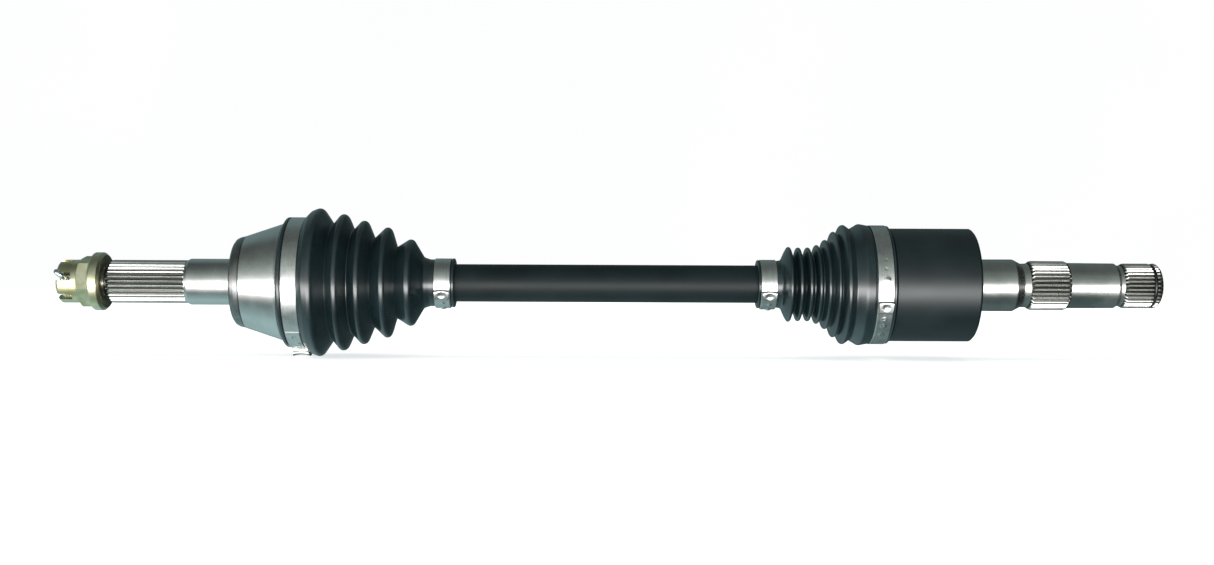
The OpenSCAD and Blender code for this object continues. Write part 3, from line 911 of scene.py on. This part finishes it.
def turned_steel(name, pale, dark, rough=(0.2, 0.32), lines=0.1, drawn_from=9.0, grooves=()):
    """Machined steel with lathe lines, or lines along the axle past drawn_from, and painted shade in its
    spline grooves.
    """
    n = Nodes(name)
    drawn = n.maths("GREATER_THAN", n.axes()[0], drawn_from)
    streaks = n.noise(1700, 3, 0.6, stretch=(0.012, 1, 1))
    fine = n.blend(drawn, n.rings(2200, 3), streaks)
    stain, tone = stained(n, fine)
    colour = n.mix(tone, dark, pale)
    if grooves:
        # Painted shade: the spline grooves are darkened in the colour.
        colour = n.mix(n.grooves(grooves), colour, GROOVE_SHADE)
    return n.finish(colour, n.spread(stain, *rough), n.bump(fine, lines, 0.00004), Metallic=1.0)


def hub_steel():
    """The hub forging: machined bright, with a duller shoulder on the cup and a dark line at its edge."""
    n = Nodes("hub_steel")
    fine = n.rings(2200, 3)
    stain, tone = stained(n, fine)
    bright = n.mix(tone, (0.46, 0.47, 0.45), (0.6, 0.61, 0.59))
    scale = n.mix(n.spread(n.noise(160, 4), 0, 1), (0.15, 0.155, 0.155), (0.25, 0.25, 0.245))
    wobble = n.maths("MULTIPLY", n.maths("SUBTRACT", stain, 0.5), 0.0006)
    place = n.maths("ADD", n.axes()[0], wobble)
    shoulder = n.window(place, -0.0001, 0.0005, 0.0068, 0.0071)
    line = n.window(place, 0.0062, 0.0068, 0.0071, 0.0075)
    colour = n.mix(line, n.mix(shoulder, bright, scale), (0.07, 0.072, 0.07))
    # Painted shade: the spline grooves are darkened in the colour.
    colour = n.mix(n.grooves(HUB_GROOVES), colour, GROOVE_SHADE)
    rough = n.maths("ADD", n.spread(stain, 0.2, 0.3), n.maths("MULTIPLY", shoulder, 0.1))
    return n.finish(colour, rough, n.bump(fine, 0.1, 0.00004), Metallic=1.0)


def zinc():
    """Yellow-green passivated zinc, paler where it is handled."""
    n = Nodes("yellow_zinc")
    cloud = n.noise(110, 3, 0.55)
    grain = n.noise(900, 3)
    colour = n.mix(n.spread(cloud, 0, 1, 0.36, 0.64), (0.44, 0.42, 0.22), (0.68, 0.67, 0.48))
    normal = n.bump(grain, 0.12, 0.00005)
    return n.finish(colour, n.spread(cloud, 0.38, 0.28), normal, Metallic=1.0)


def bright_wire():
    n = Nodes("bright_wire")
    grain = n.noise(700, 3)
    colour = n.mix(n.spread(grain, 0, 1), (0.62, 0.66, 0.68), (0.8, 0.82, 0.82))
    return n.finish(colour, n.spread(grain, 0.2, 0.3), n.bump(grain, 0.1, 0.00004), Metallic=1.0)


def rubber():
    """Moulded rubber: fine grain, a faint bloom and an uneven gloss."""
    n = Nodes("moulded_rubber")
    grain = n.noise(2400, 2)
    bloom = n.noise(46, 4, 0.6)
    colour = n.mix(n.spread(bloom, 0, 1, 0.35, 0.7), (0.003, 0.007, 0.008), (0.006, 0.013, 0.015))
    gloss = n.spread(bloom, 0.2, 0.27)
    return n.finish(colour, gloss, n.bump(grain, 0.12, 0.00003), Specular_IOR_Level=0.8)


def black_paint(name, rough, specular):
    """Black paint over a turned surface, with a little orange peel."""
    n = Nodes(name)
    peel = n.noise(420, 3)
    cloud = n.noise(30, 3)
    colour = n.mix(n.spread(cloud, 0, 1), (0.002, 0.005, 0.006), (0.005, 0.010, 0.011))
    normal = n.bump(n.rings(900, 3), 0.04, 0.00005, n.bump(peel, 0.08, 0.00008))
    return n.finish(colour, n.spread(cloud, *rough), normal, Specular_IOR_Level=specular)


def band_steel():
    """Rolled stainless strip: lines along its length and small marks."""
    n = Nodes("band_steel")
    lines = n.rings(3800, 3)
    marks = n.noise(140, 4, 0.65)
    tone = n.maths("ADD", n.maths("MULTIPLY", lines, 0.5), n.maths("MULTIPLY", marks, 0.5))
    colour = n.mix(n.spread(tone, 0, 1, 0.34, 0.66), (0.44, 0.45, 0.43), (0.66, 0.67, 0.65))
    normal = n.bump(lines, 0.16, 0.00004)
    return n.finish(colour, n.spread(tone, 0.24, 0.36), normal, Metallic=1.0)


def plain_metal(name, pale, dark, rough):
    n = Nodes(name)
    grain = n.noise(600, 3)
    cloud = n.noise(50, 3)
    colour = n.mix(n.spread(cloud, 0, 1), dark, pale)
    return n.finish(colour, n.spread(grain, *rough), n.bump(grain, 0.06, 0.00003), Metallic=1.0)


def coat(piece, material):
    piece.data.materials.clear()
    piece.data.materials.append(material)
    for polygon in piece.data.polygons:
        polygon.material_index = 0


def coat_node(node, material):
    """Gives a CAD node its material and leaves its mesh as it is."""
    materials = frame["nodes"][node].data.materials
    if len(materials) == 0:
        materials.append(material)
    for i in range(len(materials)):
        materials[i] = material


# ---------------------------------------------------------------- stage, light and camera

FLOOR_GLOW = 0.72


def stage():
    ground = cad_box[0].z
    floor = disc("floor", ground, 8.0)
    floor.visible_glossy = False
    floor.visible_shadow = False
    n = Nodes("pale_floor")
    grain = n.noise(14, 3)
    colour = n.mix(n.spread(grain, 0, 1), (0.86, 0.865, 0.87), (0.9, 0.905, 0.91))
    x, y, _ = n.axes()
    away = n.maths("SQRT", n.maths("ADD", n.maths("MULTIPLY", x, x), n.maths("MULTIPLY", y, y)))
    glow = n.spread(away, FLOOR_GLOW, 1.2, 0.5, 2.0)
    n.finish(colour, 0.9, None, Emission_Color=(0.97, 0.98, 0.98, 1))
    n.link(glow, n.shader.inputs["Emission Strength"])
    coat(floor, n.material)
    wall = backdrop(ground, 7.9, 5.0)
    coat(wall, white_wall())
    for flag in ("visible_glossy", "visible_diffuse", "visible_shadow"):
        setattr(wall, flag, False)


def ring_points(radius, z, count=64):
    return [(radius * math.cos(t), radius * math.sin(t), z) for t in azimuths(count)]


def disc(name, z, radius):
    points = ring_points(radius, z)
    return new_object(name, points, [tuple(range(len(points)))])


def backdrop(z, radius, height):
    """A round white wall far behind the floor's edge, seen by the camera only."""
    foot, top = ring_points(radius, z - 0.01), ring_points(radius, z + height)
    count = len(foot)
    faces = [(i, (i + 1) % count, count + (i + 1) % count, count + i) for i in range(count)]
    return new_object("backdrop", foot + top, faces)


def white_wall():
    n = Nodes("white_wall")
    grain = n.noise(0.7, 2)
    colour = n.mix(n.spread(grain, 0, 1), (0.98, 0.985, 0.99), (1.0, 1.0, 1.0))
    n.finish((0, 0, 0, 1), 1.0, None, Specular_IOR_Level=0.0, Emission_Strength=1.0)
    n.link(colour, n.shader.inputs["Emission Color"])
    return n.material


NEUTRAL, COOL, OLIVE = (1.0, 1.0, 1.0), (0.68, 0.97, 1.0), (0.86, 1.0, 0.96)
BRIGHTEST = 10.0
LIGHT_LEFT = [
    [-179, 0.3, COOL], [-140, 0.7, COOL], [-104, 0.85, COOL], [-81, 0.6, COOL], [-57, 0.28, COOL],
    [-42, 0.8, NEUTRAL], [-31, 2.0, NEUTRAL], [-22, 10.0, NEUTRAL], [-10, 10.0, NEUTRAL],
    [-2, 2.0, NEUTRAL], [8, 1.0, NEUTRAL], [25, 0.6, OLIVE], [46, 0.32, OLIVE], [69, 0.16, OLIVE],
    [95, 0.11, OLIVE], [130, 0.32, COOL], [179, 0.3, COOL],
]
LIGHT_RIGHT = [
    [-179, 0.03, COOL], [-150, 0.12, COOL], [-104, 0.15, COOL], [-78, 0.12, COOL],
    [-57, 0.13, COOL], [-42, 0.4, NEUTRAL], [-31, 1.2, NEUTRAL], [-22, 10.0, NEUTRAL], [-10, 10.0, NEUTRAL],
    [-2, 1.6, NEUTRAL], [8, 0.65, NEUTRAL], [25, 0.44, OLIVE], [46, 0.3, OLIVE], [73, 0.17, OLIVE],
    [110, 0.17, OLIVE], [144, 0.2, COOL], [165, 0.06, COOL], [179, 0.03, COOL],
]


def ramp(graph, place, stops):
    """Light of a direction at this place round the axle, from stops of [degrees, level, tint]."""
    node = graph.add("ShaderNodeValToRGB")
    node.color_ramp.interpolation = "EASE"
    elements = node.color_ramp.elements
    while len(elements) > 1:
        elements.remove(elements[-1])
    for i, (degrees, level, tint) in enumerate(stops):
        position = degrees / 360 + 0.5
        element = elements[0] if i == 0 else elements.new(position)
        element.position = position
        element.color = (*[level / BRIGHTEST * c for c in tint], 1)
    graph.link(place, node.inputs[0])
    return node.outputs[0]


def studio():
    """Light from all round, set by how far a direction is turned round the axle.

    A strip softbox shines low in front, a weaker bounce comes from below and the ceiling is dim. Each end
    of the axle has its own stops, and the light fades beyond both.
    """
    world = bpy.data.worlds.new("studio")
    bpy.context.scene.world = world
    world.use_nodes = True
    world.node_tree.nodes.clear()
    g = Graph(world.node_tree)
    split = g.add("ShaderNodeSeparateXYZ")
    g.link(g.add("ShaderNodeTexCoord").outputs["Generated"], split.inputs[0])
    x, y, z = split.outputs
    turn = g.maths("ARCTAN2", z, g.maths("MULTIPLY", y, -1.0))
    place = g.maths("ADD", g.maths("DIVIDE", turn, TAU), 0.5)
    soft = {"interpolation_type": "SMOOTHSTEP"}
    across = g.spread(x, 0.0, 1.0, -0.4, 0.4, **soft)
    colour = g.mix(across, ramp(g, place, LIGHT_LEFT), ramp(g, place, LIGHT_RIGHT))
    hub_end = g.spread(g.maths("MULTIPLY", x, -1.0), 1.0, 0.8, 0.55, 0.95, **soft)
    stub_end = g.spread(x, 1.0, 0.09, 0.4, 0.8, **soft)
    level = g.maths("MULTIPLY", g.maths("MULTIPLY", hub_end, stub_end), BRIGHTEST)
    light = g.add("ShaderNodeBackground")
    g.link(colour, light.inputs["Color"])
    g.link(level, light.inputs["Strength"])
    g.link(light.outputs[0], g.add("ShaderNodeOutputWorld").inputs[0])
    world.cycles.sampling_method = "MANUAL"
    world.cycles.sample_map_resolution = 1024


def overhead_softbox():
    """Lights the floor and gives the soft shadow under the axle; it isn't mirrored in the metal."""
    lamp = bpy.data.lights.new("softbox", "AREA")
    lamp.shape = "RECTANGLE"
    lamp.size, lamp.size_y = 2.4, 1.6
    lamp.energy = 12
    holder = bpy.data.objects.new("softbox", lamp)
    holder.location = (0.23, -0.1, 1.5)
    holder.visible_glossy = False
    holder.visible_camera = False
    bpy.context.scene.collection.objects.link(holder)


def camera():
    """Level with the axle and square to it, as the photograph was taken."""
    distance, foot_x, seen_width, roll = 0.886, 0.2125, 0.7284, 0.26
    data = bpy.data.cameras.new("camera")
    data.sensor_width = 36
    data.lens = data.sensor_width * distance / seen_width
    data.shift_x, data.shift_y = 0.0135, 0.0008
    data.clip_start, data.clip_end = 0.01, 40
    holder = bpy.data.objects.new("camera", data)
    holder.location = (foot_x, -distance, 0.0)
    holder.rotation_euler = (math.radians(90), math.radians(-roll), 0)
    bpy.context.scene.collection.objects.link(holder)
    bpy.context.scene.camera = holder


# ---------------------------------------------------------------- the axle

def housings():
    cup_end = joint_x("inner_pitch") + 34.2
    hub, black_cup, stub = outer_cup(), inner_cup(cup_end), inner_stub(cup_end)
    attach(hub, "outer_housing")
    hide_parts("outer_joint_housing")
    coat(hub, hub_steel())
    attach(black_cup, "inner_housing")
    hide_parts("inner_joint_housing")
    coat(black_cup, black_paint("cup_paint", (0.33, 0.41), 0.5))
    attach(stub, "inner_housing")
    coat(stub, turned_steel("stub_steel", (0.58, 0.59, 0.56), (0.42, 0.43, 0.41),
                            drawn_from=0.4705, grooves=STUB_GROOVES))


def boots():
    black_rubber = rubber()
    for piece in outer_boot() + inner_boot():
        coat(piece, black_rubber)


def hardware():
    strap_steel = band_steel()
    for piece in clamps():
        coat(piece, strap_steel)
    coat(castle_nut(), zinc())
    coat(split_pin(), bright_wire())


def cad_nodes():
    """Materials for the nodes that are shown as they come from CAD."""
    races = turned_steel("race_steel", (0.6, 0.6, 0.6), (0.45, 0.45, 0.45), (0.12, 0.2), 0.08)
    cages = plain_metal("cage_steel", (0.34, 0.34, 0.35), (0.2, 0.2, 0.21), (0.25, 0.38))
    balls = plain_metal("ball_steel", (0.8, 0.8, 0.81), (0.7, 0.7, 0.72), (0.05, 0.09))
    springs = plain_metal("spring_steel", (0.09, 0.09, 0.1), (0.04, 0.04, 0.045), (0.3, 0.42))
    wire = plain_metal("wire_steel", (0.62, 0.62, 0.62), (0.45, 0.45, 0.45), (0.2, 0.3))
    for end in ("outer", "inner"):
        coat_node(f"{end}_inner_race", races)
        coat_node(f"{end}_cage", cages)
        coat_node(f"{end}_race_circlip", springs)
        coat_node(f"{end}_stop_ring", springs)
        for i in range(1, TRACKS + 1):
            coat_node(f"{end}_ball_{i}", balls)
    coat_node("axle_bar", black_paint("bar_paint", (0.46, 0.54), 0.25))
    coat_node("stub_snap_ring", springs)
    coat_node("cup_retaining_ring", wire)


housings()
boots()
hardware()
cad_nodes()
stage()
studio()
overhead_softbox()
camera()
bpy.context.scene.view_settings.view_transform = "Standard"
